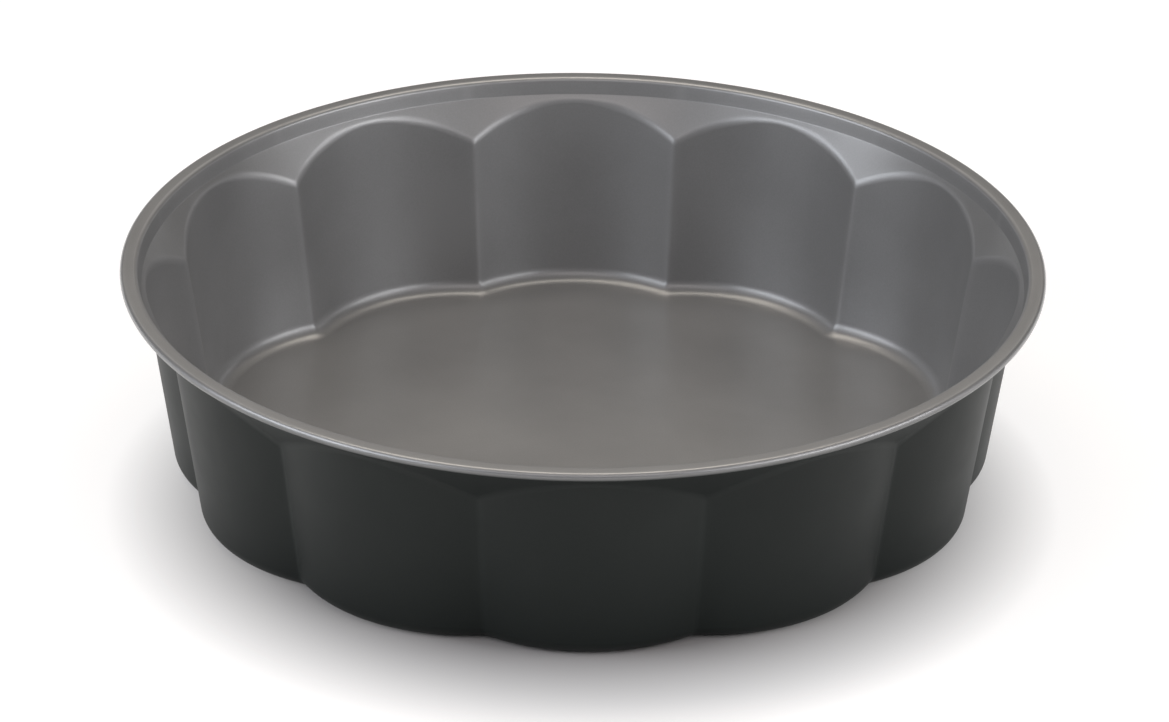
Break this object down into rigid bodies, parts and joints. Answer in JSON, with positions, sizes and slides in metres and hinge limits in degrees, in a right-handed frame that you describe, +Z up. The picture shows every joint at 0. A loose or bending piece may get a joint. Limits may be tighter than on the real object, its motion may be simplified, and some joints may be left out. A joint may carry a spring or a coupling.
{
  "type": "brioche mould",
  "caption": "Round fluted baking mould of pressed steel: flat floor, outward leaning lobed wall, ledge, upright band and rolled rim, with a non-stick coat inside and a dark coat outside.",
  "frame": {"origin": "centre of the foot, on the table", "axes": "+Z points up, out of the mould's mouth; the middle of a lobe faces -Y"},
  "size_m": [0.28, 0.28, 0.068],
  "materials": {
    "steel_sheet": "cold rolled, dull satin",
    "steel_wire": "drawn, satin",
    "nonstick_inside": "sprayed grey non-stick coat, satin",
    "dark_coat_outside": "sprayed dark coat, satin"
  },
  "bodies": {
    "root": {"pressed_shell": "steel_sheet", "rim_wire": "steel_wire", "inner_coating": "nonstick_inside", "outer_coating": "dark_coat_outside"}
  },
  "joints": []
}
